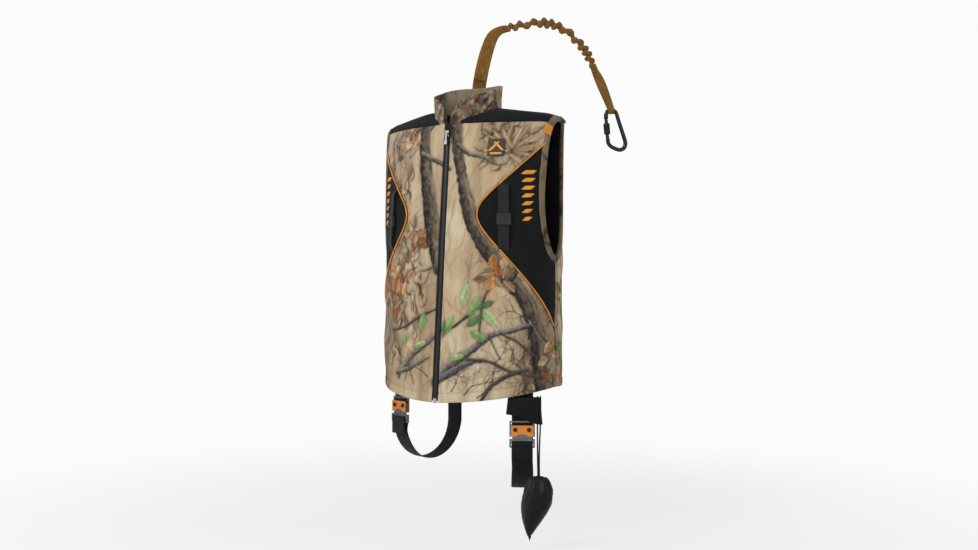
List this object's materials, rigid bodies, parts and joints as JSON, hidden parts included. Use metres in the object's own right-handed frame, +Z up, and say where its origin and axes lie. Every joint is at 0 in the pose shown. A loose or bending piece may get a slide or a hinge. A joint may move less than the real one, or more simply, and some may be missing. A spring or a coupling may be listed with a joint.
{
  "type": "safety harness vest",
  "caption": "Sleeveless zipped vest with a built-in full-body fall-arrest harness, buckled leg loops, a back tether with a locking carabiner and a stuff pouch.",
  "frame": {"origin": "centre line of the wearer's torso at the height of the vest's side hem", "axes": "+Z up the wearer, the zip at -Y, the wearer's left at +X"},
  "size_m": [0.5029, 0.3937, 1.1429],
  "materials": {
    "camo_shell": "brushed woodland-print polyester",
    "black_fabric": "matt black stretch fabric",
    "lining": "black mesh",
    "orange_trim": "satin cord",
    "black_webbing": "woven nylon webbing",
    "coyote_webbing": "woven nylon webbing",
    "zip_black": "woven tape and moulded teeth",
    "zip_metal": "polished",
    "patch": "moulded patch",
    "black_plastic": "moulded",
    "buckle_grey": "anodised grey",
    "buckle_orange": "anodised orange",
    "rivet_dark": "dark oxide",
    "bar_steel": "satin",
    "gunmetal": "dark anodised",
    "pin_steel": "satin",
    "pouch_nylon": "ripstop nylon"
  },
  "bodies": {
    "vest": {"back_panel": "camo_shell", "shoulder_yoke_left": "black_fabric", "shoulder_yoke_right": "black_fabric", "side_inset_left": "black_fabric", "side_inset_right": "black_fabric", "lining_back": "lining", "collar_outer": "camo_shell", "collar_lining": "black_fabric", "armhole_binding_left": "camo_shell", "armhole_binding_right": "camo_shell", "armhole_binding_front_left": "camo_shell", "armhole_binding_front_right": "camo_shell", "piping_left": "orange_trim", "piping_right": "orange_trim", "shoulder_tag": "orange_trim", "binocular_strap_left": "black_webbing", "binocular_strap_right": "black_webbing", "harness_webbing_left": "black_webbing", "harness_webbing_right": "black_webbing", "waist_belt": "black_webbing", "chest_strap": "black_webbing", "chest_buckle_socket": "black_plastic"},
    "front_left": {"front_panel_left": "camo_shell", "lining_front_left": "lining", "zip_tape_left": "zip_black", "zip_teeth_left": "zip_black", "zip_box": "zip_metal", "chest_patch": "patch"},
    "front_right": {"front_panel_right": "camo_shell", "lining_front_right": "lining", "zip_tape_right": "zip_black", "zip_teeth_right": "zip_black"},
    "slider": {"zip_slider": "zip_metal"},
    "slider_pull": {"zip_pull": "zip_metal"},
    "adjuster_left": {"strap_adjuster_left": "black_plastic"},
    "adjuster_right": {"strap_adjuster_right": "black_plastic"},
    "chest_clip": {"chest_buckle_clip": "black_plastic"},
    "tether": {"tether_webbing": "coyote_webbing"},
    "tether_arc": {"tether_elastic": "coyote_webbing", "tether_end_loop": "coyote_webbing"},
    "carabiner": {"carabiner_frame": "gunmetal", "gate_pin": "pin_steel"},
    "gate": {"carabiner_gate": "gunmetal"},
    "sleeve": {"gate_sleeve": "gunmetal"},
    "leg_left": {"hip_tab_left": "black_webbing", "hip_sleeve_left": "black_fabric", "buckle_frame_left": "buckle_grey"},
    "release_left": {"buckle_release_left": "buckle_orange", "buckle_rivets_left": "rivet_dark"},
    "tongue_left": {"buckle_tongue_left": "buckle_grey", "leg_loop_left": "black_webbing"},
    "bar_left": {"slide_bar_left": "bar_steel"},
    "leg_right": {"buckle_frame_right": "buckle_grey"},
    "release_right": {"buckle_release_right": "buckle_orange", "buckle_rivets_right": "rivet_dark"},
    "tongue_right": {"buckle_tongue_right": "buckle_grey", "leg_loop_right": "black_webbing"},
    "bar_right": {"slide_bar_right": "bar_steel"},
    "stuff_pouch": {"pouch": "pouch_nylon", "pouch_cords": "pouch_nylon"}
  },
  "joints": [
    {"name": "front_right_open", "type": "hinge", "parent": "vest", "child": "front_right", "pos_m": [-0.2215, 0.003, 0.25], "axis": [0, 0, -1], "range_deg": [0, 55]},
    {"name": "front_left_open", "type": "hinge", "parent": "vest", "child": "front_left", "pos_m": [0.2215, 0.003, 0.25], "axis": [0, 0, 1], "range_deg": [0, 55]},
    {"name": "zip_slide", "type": "slide", "parent": "front_right", "child": "slider", "axis": [0, -0.0833, -0.9965], "range_m": [0, 0.56]},
    {"name": "zip_pull_flip", "type": "hinge", "parent": "slider", "child": "slider_pull", "pos_m": [0, -0.09534, 0.5473], "axis": [-1, 0, 0], "range_deg": [0, 110]},
    {"name": "adjuster_left_slide", "type": "slide", "parent": "vest", "child": "adjuster_left", "axis": [-0.0354, 0.0453, 0.9983], "range_m": [-0.03, 0.03]},
    {"name": "adjuster_right_slide", "type": "slide", "parent": "vest", "child": "adjuster_right", "axis": [0.0354, 0.0453, 0.9983], "range_m": [-0.03, 0.03]},
    {"name": "chest_clip_release", "type": "slide", "parent": "vest", "child": "chest_clip", "axis": [1, 0, 0], "range_m": [0, 0.02]},
    {"name": "tether_swing", "type": "hinge", "parent": "vest", "child": "tether", "pos_m": [-0.02154, 0.07041, 0.624], "axis": [-1, 0, 0], "range_deg": [0, 45], "stiffness_Nm_per_rad": 0.9, "springref_deg": -28.65},
    {"name": "tether_arc_bend", "type": "hinge", "parent": "tether", "child": "tether_arc", "pos_m": [0.03273, 0.10433, 0.806], "axis": [-0.5299, 0.848, 0], "range_deg": [-20, 5], "stiffness_Nm_per_rad": 2, "springref_deg": -9.44},
    {"name": "carabiner_swing", "type": "hinge", "parent": "tether_arc", "child": "carabiner", "pos_m": [0.23626, 0.23151, 0.617], "axis": [0.848, 0.5299, 0], "range_deg": [-50, 50]},
    {"name": "gate_open", "type": "hinge", "parent": "carabiner", "child": "gate", "pos_m": [0.22609, 0.22515, 0.603], "axis": [-0.5299, 0.848, 0], "range_deg": [-20, 0], "stiffness_Nm_per_rad": 0.05, "springref_deg": 11.46},
    {"name": "sleeve_slide", "type": "slide", "parent": "gate", "child": "sleeve", "axis": [0.0638, 0.0399, -0.9972], "range_m": [0, 0.008], "stiffness_N_per_m": 20, "springref_m": -0.015},
    {"name": "leg_left_swing", "type": "hinge", "parent": "vest", "child": "leg_left", "pos_m": [0.174, -0.066, -0.038], "axis": [-0.5, 0.866, 0], "range_deg": [-3, 30]},
    {"name": "buckle_left_release", "type": "hinge", "parent": "leg_left", "child": "release_left", "pos_m": [0.17645, -0.07024, -0.078], "axis": [-0.866, -0.5, 0], "range_deg": [0, 8], "stiffness_Nm_per_rad": 0.02, "springref_deg": -5.73},
    {"name": "buckle_left_tongue", "type": "slide", "parent": "leg_left", "child": "tongue_left", "axis": [0, 0, -1], "range_m": [0, 0.026], "stiffness_N_per_m": 60, "springref_m": -0.02},
    {"name": "slide_bar_left_travel", "type": "slide", "parent": "tongue_left", "child": "bar_left", "axis": [0, 0, 1], "range_m": [-0.003, 0], "stiffness_N_per_m": 100, "springref_m": 0.00101},
    {"name": "leg_right_swing", "type": "hinge", "parent": "vest", "child": "leg_right", "pos_m": [-0.124, -0.092, -0.024], "axis": [0.2756, 0.9613, 0], "range_deg": [-30, 30]},
    {"name": "buckle_right_release", "type": "hinge", "parent": "leg_right", "child": "release_right", "pos_m": [-0.12535, -0.09671, -0.04], "axis": [-0.9613, 0.2756, 0], "range_deg": [0, 8], "stiffness_Nm_per_rad": 0.02, "springref_deg": -5.73},
    {"name": "buckle_right_tongue", "type": "slide", "parent": "leg_right", "child": "tongue_right", "axis": [0, 0, -1], "range_m": [0, 0.026], "stiffness_N_per_m": 60, "springref_m": -0.02},
    {"name": "slide_bar_right_travel", "type": "slide", "parent": "tongue_right", "child": "bar_right", "axis": [0, 0, 1], "range_m": [-0.003, 0], "stiffness_N_per_m": 100, "springref_m": 0.00101},
    {"name": "pouch_swing", "type": "hinge", "parent": "vest", "child": "stuff_pouch", "pos_m": [0.206, -0.05, -0.016], "axis": [-0.848, -0.5299, 0], "range_deg": [-3, 30], "stiffness_Nm_per_rad": 0.5, "springref_deg": 3.58}
  ],
  "couplings": [
    {"joint": "front_left_open", "follows": "front_right_open", "ratio": 1},
    {"joint": "zip_slide", "follows": "front_right_open", "m_per_rad": 0.57296}
  ]
}
